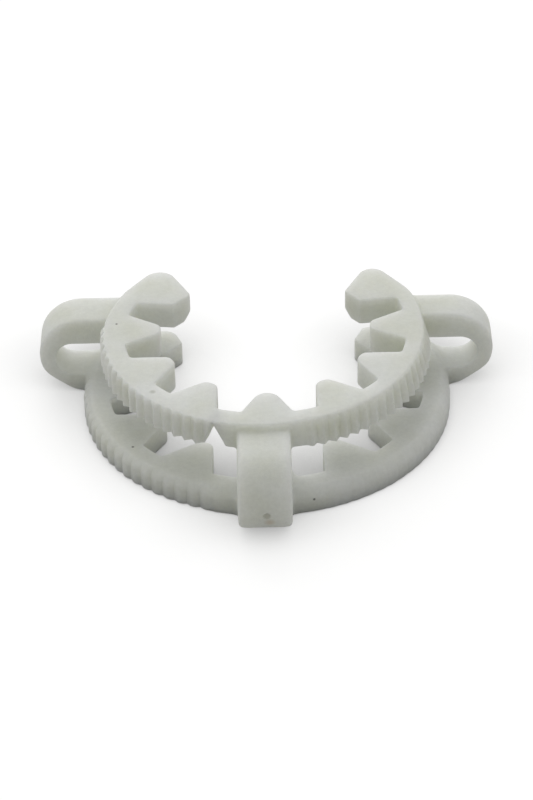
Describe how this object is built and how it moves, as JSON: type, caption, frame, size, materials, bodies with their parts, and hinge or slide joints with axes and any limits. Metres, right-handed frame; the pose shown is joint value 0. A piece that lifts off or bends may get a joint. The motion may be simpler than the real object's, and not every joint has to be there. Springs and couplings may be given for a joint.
{
  "type": "ground glass joint clip",
  "caption": "Moulded plastic clip that snaps over a conical ground glass joint: two open toothed rings, one over the other, joined by looped side straps, hold cone and socket together.",
  "frame": {"origin": "the rings' common axis at the underside of the lower ring", "axes": "+Z along the rings' axis from the lower ring to the upper ring, +Y out of the mouth, +X across the mouth to the right side strap, with the front strap on -Y"},
  "size_m": [0.054, 0.0399, 0.0108],
  "materials": {
    "clip": "natural acetal, as moulded, satin"
  },
  "bodies": {
    "root": {"clip": "clip"}
  },
  "joints": []
}
